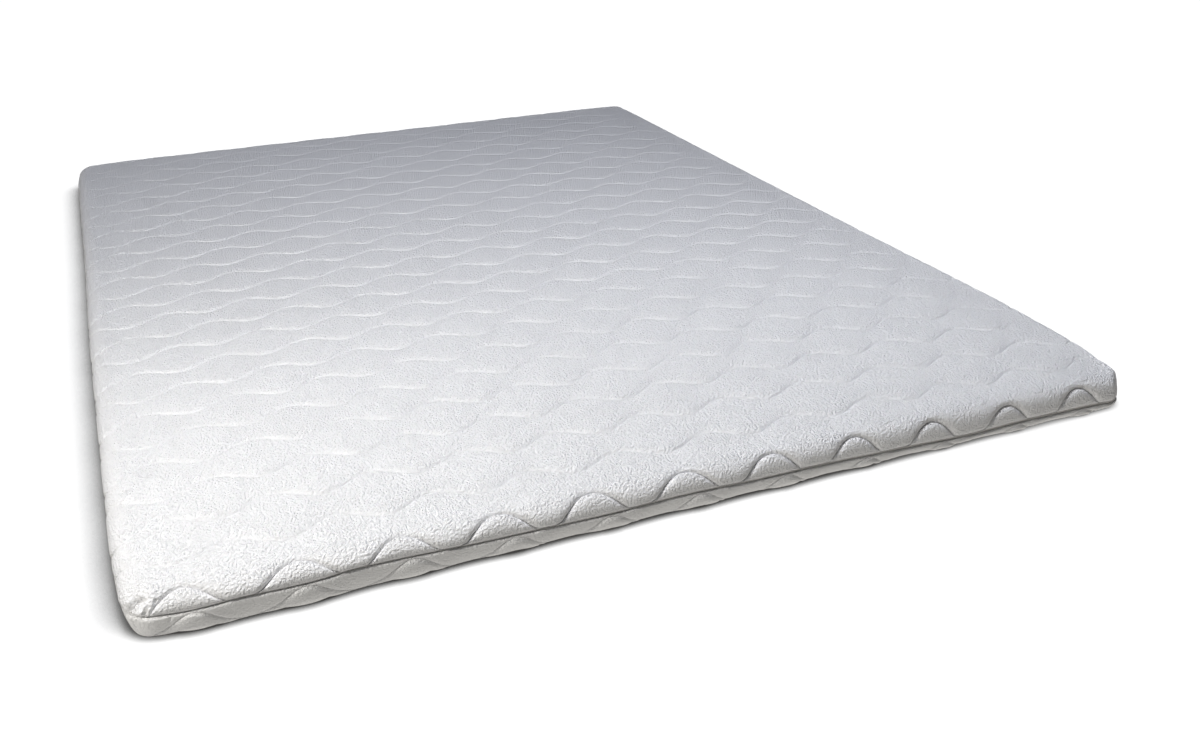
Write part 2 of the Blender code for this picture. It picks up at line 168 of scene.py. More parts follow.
# Rows: parts of the way from one line to the next in half a cell, from the near seam to the first
# line, and from the last line to the far seam
UPPER_ROWS = (
    (0.0, 0.012, 0.028, 0.055, 0.10, 0.18, 0.30, 0.5),
    (0.0, 0.06, 0.14, 0.25, 0.38, 0.52, 0.66, 0.78, 0.87, 0.93, 0.965, 0.985),
    (0.0, 0.015, 0.04, 0.09, 0.18, 0.3, 0.45, 0.6, 0.75, 0.86, 0.94),
)
LOWER_ROWS = (
    (0.0, 0.02, 0.06, 0.15, 0.30, 0.5),
    (0.0, 0.03, 0.07, 0.12, 0.2, 0.3, 0.42, 0.55, 0.68, 0.8, 0.88, 0.94, 0.975),
    (0.0, 0.02, 0.06, 0.15, 0.30, 0.45, 0.6, 0.75, 0.9),
)
TAPE_ROWS = ((0.0, 0.1, 0.25, 0.5), (0.0, 0.5), (0.0, 0.3, 0.7))

# Face of the cloth

KNIT_ROUGHNESS = 0.92
KNIT_SPECULAR = 0.25
PEBBLES_ALONG = 0.80            # pebbles in a length of cloth, as a part of those in its width
PEBBLE_FLANKS = (0.30, 0.70)    # noise at the foot and at the crest of a pebble
# Pebbles stand up more where the cloth isn't drawn over a wall: how much more, and the upward part
# of the cloth's normal where it slopes and where it lies flat
LYING_GAIN = 1.9
LYING_FLAT = (0.75, 0.99)
LOWER_PEBBLES = 0.6             # how strong they show on the lower panel
TAPE_PEBBLES = 0.3              # and on the tape

# Studio

FLOOR_HALF = 8.0
FLOOR_LEVEL = -0.0004
FLOOR_GLOW = 1.04
# The wide shade looks for the topper this way from the floor, so it falls to its left and behind it
SHADE_SLANT = (0.60, -0.55, 0.58)
SHADE_REACH = 0.080
SHADE_RANGE = (0.25, 0.86)      # open air at which it is full, and at which it ends
# The narrow shade lies all round the topper's foot
CONTACT_REACH = 0.017
CONTACT_RANGE = (0.24, 0.98)
CONTACT_FADES = (0.15, 0.70)    # places across the topper between which it grows fainter
CONTACT_LEAST = 0.45            # and the part of the floor's glow that is left in it from there on
SHADE_SAMPLES = 12
# A flag, which is a black card, hangs upright beside the left side and keeps the left lamp off the
# left wall
FLAG_SIZE = (0.08, 1.90)
FLAG_PLACE = (-1.0, -0.08, 0.250)
SENSOR_MM = 36.0
FOCAL_MM = 36.08
CAMERA_PLACE = (-0.6624, -2.2221, 0.8640)
CAMERA_AIM = (0.0218, -0.5642, 0.0)
CAMERA_ROLL = math.radians(-0.925)
LAMPS = {
    # lamp:      (place, aimed at, size, power, colour)
    "overhead": ((0.0, 0.0, 3.0), (0.0, 0.0, 0.0), 1.50, 40.8, "#ECF1FF"),
    "left": ((-2.2, -1.3, 1.5), (-0.2, -0.6, 0.0), 0.30, 27.0, "#FFFCF6"),
    "near": ((-0.70, -0.90, 1.0), (-0.70, -0.90, 0.0), 0.70, 5.4, "#FFFCF6"),
    "right": ((0.55, -0.80, 1.25), (0.55, -0.80, 0.0), 0.90, 5.2, "#FBFCFF"),
}
# Light of the pale floor from below and of the dark studio from above: colour and strength
BELOW = ("#FFFCF6", 0.68)
ABOVE = ("#BACDFF", 0.01)
HORIZON = 0.15                  # they mix between this far below it and this far above it


class TopperSizes(bpy.types.PropertyGroup):
    """The topper's sizes that a user would change."""

    width: FloatProperty(
        name="Width", description="Across the topper", default=1.500, min=0.6, unit="LENGTH")
    length: FloatProperty(
        name="Length", description="Along the topper", default=2.000, min=0.6, unit="LENGTH")
    thickness: FloatProperty(
        name="Thickness", description="Height of the shoulders", default=0.053, min=0.02,
        unit="LENGTH")
    crown: FloatProperty(
        name="Crown", description="How much higher the middle of the top stands", default=0.006,
        min=0.0, unit="LENGTH")
    row_pitch: FloatProperty(
        name="Row pitch", description="Between two rows of quilting", default=0.0755, min=0.04,
        unit="LENGTH")
    wave_pitch: FloatProperty(
        name="Wave pitch", description="From crest to crest of a row", default=0.1340, min=0.05,
        unit="LENGTH")
    wave_rise: FloatProperty(
        name="Wave rise", description="From the middle of a row to its crest", default=0.0140,
        min=0.0, unit="LENGTH")
    stitch_depth: FloatProperty(
        name="Stitch depth", description="How deep a row of stitches is drawn in",
        default=0.0028, min=0.0, unit="LENGTH")
    puff: FloatProperty(
        name="Puff", description="How far the cloth stands up between two rows",
        default=0.0025, min=0.0, unit="LENGTH")
    # The real pebbles are about 2 mm across. They are drawn a little coarser and higher, so that
    # they still show from the camera
    grain: FloatProperty(
        name="Grain", description="Across one pebble of the knitted cloth", default=0.0030,
        min=0.0005, unit="LENGTH")
    grain_height: FloatProperty(
        name="Grain height", description="How far a pebble stands up", default=0.0012, min=0.0,
        unit="LENGTH")


def linear(code):
    """Linear red, green and blue of an sRGB hex colour."""
    parts = [int(code[i:i + 2], 16) / 255 for i in (1, 3, 5)]
    return tuple(p / 12.92 if p <= 0.04045 else ((p + 0.055) / 1.055) ** 2.4 for p in parts)


class TopperColours(bpy.types.PropertyGroup):
    """The colours of the cloths and of the studio."""

    upper_knit: FloatVectorProperty(
        name="Upper knit", description="Face cloth of the upper panel", subtype="COLOR",
        default=linear("#EFEFF0"), min=0.0, max=1.0)
    # Painted a little lighter than the upper knit, though it is the same cloth: painted light that
    # lifts the shaded lower wall
    lower_knit: FloatVectorProperty(
        name="Lower knit", description="Face cloth of the lower panel", subtype="COLOR",
        default=linear("#F4F4F4"), min=0.0, max=1.0)
    tape: FloatVectorProperty(
        name="Tape", description="The woven tape in the seam", subtype="COLOR",
        default=linear("#DCDAD7"), min=0.0, max=1.0)
    floor: FloatVectorProperty(
        name="Floor", description="The pale floor", subtype="COLOR",
        default=linear("#606060"), min=0.0, max=1.0)


# Shape of the cloth

def smooth(value):
    """Ease numbers between 0 and 1."""
    value = np.clip(value, 0.0, 1.0)
    return value * value * (3.0 - 2.0 * value)


def between(table, fraction):
    """Read a table of fractions and values, with eased steps between its rows."""
    value = np.full(np.shape(fraction), table[0][1])
    for (start, first), (end, second) in zip(table, table[1:]):
        value = value + (second - first) * smooth((fraction - start) / (end - start))
    return value


def quarter(across, up):
    """Length of a quarter of an ellipse, nearly."""
    return math.pi / 2 / math.sqrt(2.0) * np.hypot(across, up)


# Places on the cloth: where the flat under or beside them lies; the line before them, the part of
# the way on to the next line, and the room between the two; the cloth that turns in to the near
# seam; how steep the wall is; how far the line before is from the near seam; the part of the way
# down the wall to the seam, and the wall's length
Spot = namedtuple("Spot", "x y line part room hem steep below down wall")


class Wrap:
    """Wraps an unrolled, quilted cloth over one face of the topper and over its walls.

    A place on the cloth is given by its column and its row. A column is a place across the flat
    of the face and a part of the way down a side wall; a row is a quilting line and a part of the
    way on to the next line.
    """

    shoulder = 0.032            # from the edge of the flat out to the widest point of a wall
    rim = 0.0030                # from the widest point in to the seam
    bulge = 0.0                 # how far this panel stands out past the other one
    lines = 27                  # stitch lines in all
    margin = 0.0022             # lines keep this far from the seam
    fade_from = 0.88            # part of the way to the seam where the puffing fades out
    corner_calm = 1.0           # part of the relief that is lost in a corner
    draw_share = 1.0            # part of the corners' draw that the face and its roll take

    def __init__(self, sizes):
        self.sizes = sizes
        self.half_x = sizes.width / 2 - self.shoulder
        self.half_y = sizes.length / 2 - self.shoulder

    def at_corners(self, column, x, y):
        """Read a column of the corners' table at places between them."""
        across = np.clip(x / self.sizes.width + 0.5, 0.0, 1.0)
        along = np.clip(y / self.sizes.length + 0.5, 0.0, 1.0)
        value = 0.0
        for row in CORNERS.values():
            share_x = across if row[0] > 0 else 1.0 - across
            share_y = along if row[1] > 0 else 1.0 - along
            value = value + row[column] * share_x * share_y
        return value

    def seam(self, x, y):
        """Height of the middle of the tape above the floor."""
        across = np.clip(x / self.sizes.width + 0.5, 0.0, 1.0)
        share = smooth(1.0 - (y + self.half_y) / NEAR_SEAM_REACH)
        return self.at_corners(SEAM, x, y) + between(NEAR_SEAM, across) * share

    def height(self, x, y):
        """Height of the panel's wall, from its face to the seam."""
        raise NotImplementedError

    def turned(self, x, y):
        """Height of the part of the wall that turns in to the seam."""
        raise NotImplementedError

    def flat(self, x, y):
        """Width of the flat between the mesh's own flat and the roll."""
        raise NotImplementedError

    def turn(self, x, y):
        """Angle through which the roll turns."""
        raise NotImplementedError

    def stitch_line(self, line, x):
        """How far along the cloth a line of quilting lies, over the walls as well."""
        raise NotImplementedError

    def relief(self, spot):
        """How far the cloth stands off its mean surface."""
        raise NotImplementedError

    def level(self, x, y, drop, stand):
        """Height above the floor."""
        raise NotImplementedError

    def sunk(self, x, y, down):
        """How far the cloth has sunk at the soft corner."""
        return 0.0

    def swell(self, x, out_y, down):
        """How far the near and far walls stand out from wave to wave."""
        return np.zeros_like(x)

    def lengths(self, x, y):
        """Cloth in the flat stretch, the roll and the turn in to the seam."""
        turned = self.turned(x, y)
        flat = self.flat(x, y)
        roll = ROLL_LENGTH * np.hypot(self.shoulder - flat + self.bulge,
                                      self.height(x, y) - turned)
        return flat, roll, quarter(self.rim, turned)

    def wall(self, x, y):
        """Cloth from the edge of the flat to the seam."""
        return sum(self.lengths(x, y))

    def line_at(self, line, x):
        """A stitch line, or the near or far seam before the first and after the last one."""
        near = -self.half_y - self.wall(x, np.full_like(x, -self.half_y))
        far = self.half_y + self.wall(x, np.full_like(x, self.half_y))
        inner = np.clip(self.stitch_line(line, x), near + self.margin, far - self.margin)
        return np.where(line <= 0, near, np.where(line > self.lines, far, inner))

    def section(self, down, x, y):
        """Out, drop and slope of a wall at a part of the way to the seam."""
        flat, roll, turn = self.lengths(x, y)
        low = self.turned(x, y)
        high = self.height(x, y) - low
        across = self.shoulder - flat + self.bulge
        reach = down * (flat + roll + turn)
        full = self.turn(x, y)
        rolled = np.clip((reach - flat) / roll, 0.0, 1.0) * full
        turned = np.clip((reach - flat - roll) / turn, 0.0, 1.0) * math.pi / 2
        out = np.minimum(reach, flat) + across * np.sin(rolled) / np.sin(full)
        out = out - self.rim * (1.0 - np.cos(turned))
        drop = high * (1.0 - np.cos(rolled)) / (1.0 - np.cos(full)) + low * np.sin(turned)
        steep = high / across * np.sin(full) / (1.0 - np.cos(full)) * np.tan(rolled)
        return out, drop, np.arctan(steep)

    def facing(self, down_x, down_y):
        """Directions in plan in which points of the walls lie from the flat."""
        size_x = np.abs(down_x)
        size_y = np.abs(down_y)
        large = np.maximum(np.maximum(size_x, size_y), 1e-9)
        small = np.minimum(size_x, size_y)
        angle = math.pi / 4 * small / large
        angle = np.where(size_x >= size_y, angle, math.pi / 2 - angle)
        flat = np.maximum(size_x, size_y) == 0.0
        out_x = np.where(flat, 0.0, np.cos(angle) * np.sign(down_x))
        out_y = np.where(flat, 0.0, np.sin(angle) * np.sign(down_y))
        return out_x, out_y

    def quilt_share(self, x, y, flat_y, down, corner):
        """How strong the quilting stands out at places on the cloth."""
        share = between(QUILT_STRENGTH, flat_y / self.sizes.length + 0.5)
        weaker = 1.0 - between(QUILT_ACROSS, x / self.sizes.width + 0.5)
        share = share * (1.0 - weaker * smooth((y + self.half_y) / QUILT_SETS_IN))
        share = share * (1.0 - smooth((down - self.fade_from) / (1.0 - self.fade_from)))
        return share * (1.0 - self.corner_calm * corner)

    def place(self, flat_x, down_x, line, part):
        """Points of the cloth, and for each its station: a place on the flat and a way out."""
        guess = np.clip(self.stitch_line(line, flat_x), -self.half_y, self.half_y)
        x = flat_x + down_x * self.wall(flat_x, guess)
        start = self.line_at(line, x)
        room = self.line_at(line + 1, x) - start
        y = start + room * part
        flat_y = np.clip(y, -self.half_y, self.half_y)
        wall = self.wall(flat_x, flat_y)
        down_y = (y - flat_y) / wall
        down = np.clip(np.maximum(np.abs(down_x), np.abs(down_y)), 0.0, 1.0)
        corner = smooth(2.0 * np.minimum(np.abs(down_x), np.abs(down_y)))
        out_x, out_y = self.facing(down_x, down_y)
        out, drop, slope = self.section(down, flat_x, flat_y)
        hem = self.lengths(flat_x, np.full_like(flat_x, -self.half_y))[2]
        below = start - self.line_at(np.zeros_like(line), x)
        stand = self.relief(Spot(flat_x, flat_y, line, part, room, hem, np.sin(slope), below,
                                 down, wall))
        stand = stand * self.quilt_share(flat_x, y, flat_y, down, corner)
        stand = stand - self.sunk(flat_x, flat_y, down)
        reach = out + stand * np.sin(slope) + self.swell(flat_x, out_y, down)
        points = np.stack([
            flat_x + out_x * reach,
            flat_y + out_y * reach,
            self.level(flat_x, flat_y, drop, stand * np.cos(slope)),
        ], axis=-1)
        stations = np.stack([flat_x, flat_y, out_x, out_y], axis=-1)
        share = self.draw_share + (SEAM_DRAW - self.draw_share) * smooth(down)
        return self.uneven(points, share), stations

    def uneven(self, points, draw_share):
        """Move points with their side's unevenness and a share of their corner's draw."""
        sizes = self.sizes
        x = points[..., 0]
        y = points[..., 1]
        across = x / sizes.width + 0.5
        along = y / sizes.length + 0.5
        near_x = smooth(1.0 - (sizes.width / 2 - np.abs(x)) / SIDE_REACH)
        near_y = smooth(1.0 - (sizes.length / 2 - np.abs(y)) / SIDE_REACH)
        out_x = np.where(x > 0, between(SIDES["right"], along), between(SIDES["left"], along))
        out_y = np.where(y > 0, between(SIDES["far"], across), between(SIDES["near"], across))
        moved = points.copy()
        moved[..., 0] += out_x * near_x * np.sign(x)
        moved[..., 1] += out_y * near_y * np.sign(y)
        gather = np.exp(-np.maximum(0.0, y + sizes.length / 2) / GATHER_REACH)
        moved[..., 0] -= NEAR_GATHER * (across - GATHER_CENTRE) * gather
        for corner_x, corner_y, *_, draw in CORNERS.values():
            away_x = x - corner_x * sizes.width / 2
            away_y = y - corner_y * sizes.length / 2
            pull = draw * np.exp(-(away_x ** 2 + away_y ** 2) / CORNER_REACH ** 2) / math.sqrt(2.0)
            moved[..., 0] -= corner_x * pull * draw_share
            moved[..., 1] -= corner_y * pull * draw_share
        return moved


class UpperWrap(Wrap):
    """The quilted top and its walls down to the seam."""

    first_row = 0.0700          # line 2 lies this far in from the near edge, at the left side
    lines_before = 2            # lines before that one, the near seam included
    wave_start = 0.5330         # a crest of that line, in from the left edge
    skew = -0.0149              # how far a line drops towards the near edge, from left to right
    bow_along = 0.0166          # lines are spread towards the far edge in the middle
    bow_across = 0.0290         # and each is arched towards the far edge in its middle
    bow_reach = 0.060           # part of the length over which the arch sets in
    first_crease = (0.0036, 0.0017)     # depth and width of the crease on the near wall
    wall_gain = 1.0             # how much more the cloth puffs on a wall than on the flat
    moon_puff = 0.0042          # how far a half-moon on the near wall stands out
    moon_most = 1.2             # height of one, in whole waves, that counts at most

    def height(self, x, y):
        """From the shoulders down to the tape's upper edge."""
        return self.sizes.thickness - self.seam(x, y) - self.at_corners(TAPE, x, y) / 2

    def turned(self, x, y):
        """From the corners' table."""
        return self.at_corners(TURNED, x, y)

    def flat(self, x, y):
        """From the corners' table."""
        return self.at_corners(FLAT, x, y)

    def turn(self, x, y):
        """From the corners' table."""
        return np.radians(self.at_corners(TURN, x, y))

    def stitch_line(self, line, x):
        """Waves in even rows, skewed and bowed a little; every second row is half a wave on."""
        sizes = self.sizes
        across = np.clip(x / sizes.width + 0.5, 0.0, 1.0)
        row = line - self.lines_before
        level = self.first_row + sizes.row_pitch * row
        along = np.clip(level / sizes.length, 0.0, 1.0)
        grown = 1.0 - np.exp(-along / self.bow_reach)
        arch = (1.0 - np.abs(2.0 * across - 1.0) ** 3) * grown
        level = level + self.skew * (across - 0.5)
        level = level + self.bow_along * 4.0 * along * (1.0 - along) + self.bow_across * arch
        level = level + np.where(line == 1, between(FIRST_LIFT, across), 0.0)
        shift = between(WAVE_SHIFT, across) * np.exp(-np.clip(level, 0.0, None) / WAVE_SHIFT_REACH)
        turn = 2.0 * math.pi * (x + sizes.width / 2 - self.wave_start - shift) / sizes.wave_pitch
        rise = sizes.wave_rise * np.where(line == 1, FIRST_RISE, 1.0)
        return level - sizes.length / 2 + rise * np.cos(turn + math.pi * (row % 2))

    def relief(self, spot):
        """Creases with the cloth puffed up between them, and half-moons on the near wall."""
        sizes = self.sizes
        line, part, room = spot.line, spot.part, spot.room
        from_line = np.minimum(part, 1.0 - part) * room
        from_line = np.where(line == 0, (1.0 - part) * room, from_line)
        from_line = np.where(line == self.lines, part * room, from_line)
        crease = -sizes.stitch_depth * np.exp(-from_line / CREASE_WIDTH)
        first = (line == 0) | ((line == 1) & (part < 0.5))
        depth, width = self.first_crease
        crease = np.where(first, -depth * np.exp(-from_line / width), crease)
        puff = sizes.puff * (1.0 + self.wall_gain * spot.steep)
        puff = puff * np.sqrt(room / sizes.row_pitch)
        stand = crease + puff * (1.0 - np.exp(-from_line / PILLOW_WIDTH))
        high = np.maximum(room - spot.hem, 1e-6)
        up = np.clip((part * room - spot.hem) / high, 0.0, 1.0)
        waves = np.clip(high / (2.0 * sizes.wave_rise), 0.0, self.moon_most)
        moon = self.moon_puff * np.sqrt(waves) * 2.0 * np.sqrt(up * (1.0 - up))
        moon = moon + crease * np.sqrt(up)
        return np.where(line == 0, moon, stand)

    def level(self, x, y, drop, stand):
        """The crowned top, less the drop of its walls."""
        rise = (1.0 - (x / self.half_x) ** 4) * (1.0 - (y / self.half_y) ** 4)
        return self.sizes.thickness - drop + stand + self.sizes.crown * rise

    def sunk(self, x, y, down):
        """Most on the flat, and nothing at the seam."""
        away = (x - SOFT_CORNER[0]) ** 2 + (y - SOFT_CORNER[1]) ** 2
        return SOFT_DEPTH * np.exp(-away / SOFT_REACH ** 2) * (1.0 - smooth(down))


class LowerWrap(Wrap):
    """The underside and its walls up to the seam."""

    bulge = 0.001
    margin = 0.003
    fade_from = 0.985
    corner_calm = 0.0
    draw_share = 0.4
    turned_in = 0.0025          # height of the cloth that turns in to the seam, and at most this
    turned_share = 0.20         # part of the wall
    foot_round = 0.0045         # of the lower edge
    foot_turn = 86.0            # degrees through which the cloth turns there
    lean = 0.0030               # how much further in the wall stands at its foot
    lean_fades = 2.4            # how fast it does up the wall
    wave_start = 0.6110         # a trough of the quilting on the wall, in from the left edge
    swell_height = 0.0028       # how far the wall stands out from wave to wave
    swell_start = 0.08075       # the first place where it does most, in from the left edge
    swell_lost = 0.8            # part of it that is lost at the seam
    ledge = (0.0038, 0.0011)    # height and width of the cloth's rise from a stitch line or seam
    ledge_reach = 0.012         # how far below it the cloth lies flat again
    ledge_share = (0.1, 0.5)    # part of it that shows under the seam, and more at the lip
    groove = (0.0018, 0.0014)   # depth and width of the crease along a line
    calm = (0.48, 0.64)         # parts of the way to the seam between which the relief sets in
    loose_room = 0.014          # from here on the cloth between seam and line stands out fully

    def height(self, x, y):
        """From the floor up to the tape's lower edge."""
        return self.seam(x, y) - self.at_corners(TAPE, x, y) / 2

    def turned(self, x, y):
        """The same all round, and less where the wall is low."""
        return np.minimum(self.turned_in, self.turned_share * self.height(x, y))

    def flat(self, x, y):
        """The underside is flat up to its rounded edge."""
        return np.full_like(x, self.shoulder - self.foot_round)

    def turn(self, x, y):
        """The same all round."""
        return np.full_like(x, math.radians(self.foot_turn))

    def stitch_line(self, line, x):
        """Waves in even rows from the near seam on."""
        sizes = self.sizes
        near = -self.half_y - self.wall(x, np.full_like(x, -self.half_y))
        turn = 2.0 * math.pi * (x + sizes.width / 2 - self.wave_start) / sizes.wave_pitch
        rise = sizes.wave_rise * (1.0 - np.cos(turn + math.pi * ((line - 1) % 2)))
        return near + self.margin + rise + sizes.row_pitch * (line - 1)

    def ledge_at(self, distance):
        """How far the cloth stands out at a distance below a line that holds it in."""
        height, width = self.ledge
        return height * (1.0 - np.exp(-distance / width)) * np.exp(-distance / self.ledge_reach)

    def relief(self, spot):
        """The ledge under the seam, and the grooves and ledges along the wall's quilting."""
        near = spot.part * spot.room
        far = (1.0 - spot.part) * spot.room
        room = np.where(spot.line == 0, spot.room,
                        np.where(spot.line == 1, spot.below, self.loose_room))
        loose = smooth(room / self.loose_room)
        away = (spot.x - LIP_PLACE[0]) ** 2 + (spot.y - LIP_PLACE[1]) ** 2
        least, more = self.ledge_share
        share = least + more * np.exp(-away / LIP_REACH ** 2)
        stand = self.ledge_at((1.0 - spot.down) * spot.wall) * share
        stand = stand + np.where(spot.line == 1, self.ledge_at(near) * (1.0 - loose), 0.0)
        depth, width = self.groove
        groove = np.where(spot.line == 0, np.exp(-far / width), 0.0)
        groove = groove + np.where(spot.line == 1, np.exp(-near / width), 0.0)
        low, high = self.calm
        return (stand - depth * groove) * smooth((spot.down - low) / (high - low))

    def level(self, x, y, drop, stand):
        """The flat underside, and the walls that rise from it."""
        return np.maximum(0.0, drop - stand)

    def swell(self, x, out_y, down):
        """With the waves of the quilting, and less towards the seam."""
        sizes = self.sizes
        turn = 2.0 * math.pi * (x + sizes.width / 2 - self.swell_start) / sizes.wave_pitch
        share = 1.0 - self.swell_lost * smooth(2.0 * down - 1.0)
        return self.swell_height * np.cos(turn) * np.abs(out_y) ** 4 * share

    def section(self, down, x, y):
        """With the wall's lean."""
        out, drop, slope = super().section(down, x, y)
        return out - self.lean * smooth(self.lean_fades * (1.0 - down)), drop, slope


# Meshes

def grid_columns(wrap):
    """Places across the flat, and parts of the way down the side walls."""
    inner = list(-wrap.half_x + FINE_WIDTH * np.arange(FINE_COLUMNS))
    rest = wrap.half_x - inner[-1]
    count = math.ceil(rest / COARSE_WIDTH)
    inner += list(inner[-1] + rest * np.arange(1, count + 1) / count)
    down = np.arange(1, WALL_COLUMNS + 1) / WALL_COLUMNS
    flat_x = np.concatenate([np.full(WALL_COLUMNS, -wrap.half_x), inner,
                             np.full(WALL_COLUMNS, wrap.half_x)])
    down_x = np.concatenate([-down[::-1], np.zeros(len(inner)), down])
    return flat_x, down_x


def grid_rows(wrap, half_cell, near, far):
    """Quilting lines and parts of the way from each to the next."""
    cell = list(half_cell) + [1.0 - part for part in reversed(half_cell[1:]) if part < 0.5]
    rows = []
    for line in range(wrap.lines + 1):
        parts = near if line == 0 else far if line == wrap.lines else cell
        rows += [(line, part) for part in parts]
    rows.append((wrap.lines + 1, 0.0))
    lines, parts = zip(*rows)
    return np.array(lines), np.array(parts)


def placed_grid(wrap, columns, rows):
    """Points of the wrapped cloth and their stations, by row and column."""
    shape = (len(rows[0]), len(columns[0]))
    return wrap.place(*(np.broadcast_to(numbers, shape) for numbers in columns),
                      *(np.broadcast_to(numbers[:, None], shape) for numbers in rows))


def wrapped_mesh(wrap, rows):
    """The open mesh of a wrapped cloth, and its points' stations."""
    line, part = grid_rows(wrap, *rows)
    points, stations = placed_grid(wrap, grid_columns(wrap), (line, part))
    last_row, last_column = points.shape[0] - 1, points.shape[1] - 1
    mesh = bmesh.new()
    number = mesh.verts.layers.int.new("station")
    bmesh.ops.create_grid(mesh, x_segments=last_column, y_segments=last_row, size=1.0)
    for point in mesh.verts:
        i = round((point.co.x + 1.0) / 2.0 * last_column)
        j = round((point.co.y + 1.0) / 2.0 * last_row)
        point[number] = j * (last_column + 1) + i
        point.co = points[j, i]
    # The cloth is creased sharply along its stitches
    for edge in mesh.edges:
        first, second = (end[number] // (last_column + 1) for end in edge.verts)
        edge.smooth = not (first == second and part[first] == 0.0)
    return mesh, stations.reshape(-1, 4)


def tape_level(wrap, part, clear=0.0):
    """Heights on the tape: part 1 is its upper edge, and part -1 its lower edge."""
    return lambda x, y: wrap.seam(x, y) + part * (wrap.at_corners(TAPE, x, y) / 2 - clear)


def ring_points(wrap, stations, inset, level):
    """Points of a ring round the topper, in from its widest outline."""
    out = wrap.shoulder - inset
    x = stations[:, 0]
    y = stations[:, 1]
    points = np.stack([x + stations[:, 2] * out, y + stations[:, 3] * out, level(x, y)], axis=-1)
    return wrap.uneven(points, SEAM_DRAW)


def add_ring(mesh, edges, wrap, stations, inset, level):
    """Extrude a loop of edges to a new ring and return the ring's edges."""
    number = mesh.verts.layers.int["station"]
    ring = ring_points(wrap, stations, inset, level)
    grown = bmesh.ops.extrude_edge_only(mesh, edges=edges)["geom"]
    ends = {item for item in grown if isinstance(item, bmesh.types.BMVert)}
    for end in ends:
        end.co = ring[end[number]]
    lines = [item for item in grown if isinstance(item, bmesh.types.BMEdge)]
    return [line for line in lines if all(end in ends for end in line.verts)]


def panel_mesh(wrap, rows, side, inner):
    """The closed mesh of a panel: its cloth, the rebate for the tape, and its inner face.

    The side is 1 for the panel over the tape and -1 for the one under it.
    """
    mesh, stations = wrapped_mesh(wrap, rows)
    edge = [edge for edge in mesh.edges if edge.is_boundary]
    back = TAPE_DEEP + TAPE_CLEAR
    for inset, level in ((back, tape_level(wrap, side)),
                         (back, lambda x, y: wrap.seam(x, y) + side * PANELS_PART),
                         (INNER_INSET, lambda x, y: np.full_like(x, inner))):
        edge = add_ring(mesh, edge, wrap, stations, inset, level)
    bmesh.ops.contextual_create(mesh, geom=edge)
    bmesh.ops.recalc_face_normals(mesh, faces=mesh.faces)
    return mesh


def pucker(mesh, folds, reach, cuts):
    """Draw narrow grooves, or raise narrow ridges, along short lines on the cloth.

    A fold is a row of points, its width and its depth; a depth below 0 is a ridge. The cloth
    within reach of the folds is cut finer first.
    """
    points = np.array([point for row, _, _ in folds for point in row])
    low = points.min(axis=0) - reach
    high = points.max(axis=0) + reach

    def near_folds():
        return [point for point in mesh.verts
                if all(low[i] < point.co[i] < high[i] for i in range(3))]

    inside = set(near_folds())
    edges = [edge for edge in mesh.edges if all(end in inside for end in edge.verts)]
    bmesh.ops.subdivide_edges(mesh, edges=edges, cuts=cuts, use_grid_fill=True)
    mesh.normal_update()
    near = near_folds()
    place = np.array([point.co for point in near])
    shift = np.zeros(len(near))
    for row, width, depth in folds:
        nearest = np.full(len(near), np.inf)
        for start, end in zip(np.array(row), np.array(row[1:])):
            run = end - start
            share = np.clip((place - start) @ run / (run @ run), 0.0, 1.0)
            away = np.linalg.norm(place - start - share[:, None] * run, axis=1)
            nearest = np.minimum(nearest, away)
        shift -= depth * np.exp(-(nearest / width) ** 2)
    for point, step in zip(near, shift):
        point.co += point.normal * step


def linked(mesh, name, paint):
    """Turn a bmesh into an object of the scene with one material."""
    data = bpy.data.meshes.new(name)
    mesh.to_mesh(data)
    mesh.free()
    data.materials.append(paint)
    made = bpy.data.objects.new(name, data)
    bpy.context.scene.collection.objects.link(made)
    return made


def finished(mesh, name, cloth, node):
    """Turn a closed mesh into a piece in place of a plain solid."""
    bmesh.ops.recalc_face_normals(mesh, faces=mesh.faces)
    for face in mesh.faces:
        face.smooth = True
    piece = linked(mesh, name, cloth)
    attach(piece, BODY)
    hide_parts(node)
    return piece


# Materials

def add_node(tree, kind, settings=None, inputs=None):
    """Add a node, set its properties, and set or link its inputs."""
    node = tree.nodes.new(kind)
    for key, value in (settings or {}).items():
        setattr(node, key, value)
    for key, value in (inputs or {}).items():
        if isinstance(value, bpy.types.NodeSocket):
            tree.links.new(value, node.inputs[key])
        else:
            node.inputs[key].default_value = value
    return node


def new_paint(name, colour, roughness, specular):
    """A material with a plain base, its node tree and its shader."""
    paint = bpy.data.materials.new(name)
    paint.use_nodes = True
    shader = paint.node_tree.nodes["Principled BSDF"]
    shader.inputs["Base Color"].default_value = (*colour, 1.0)
    shader.inputs["Roughness"].default_value = roughness
    shader.inputs["Specular IOR Level"].default_value = specular
    return paint, paint.node_tree, shader


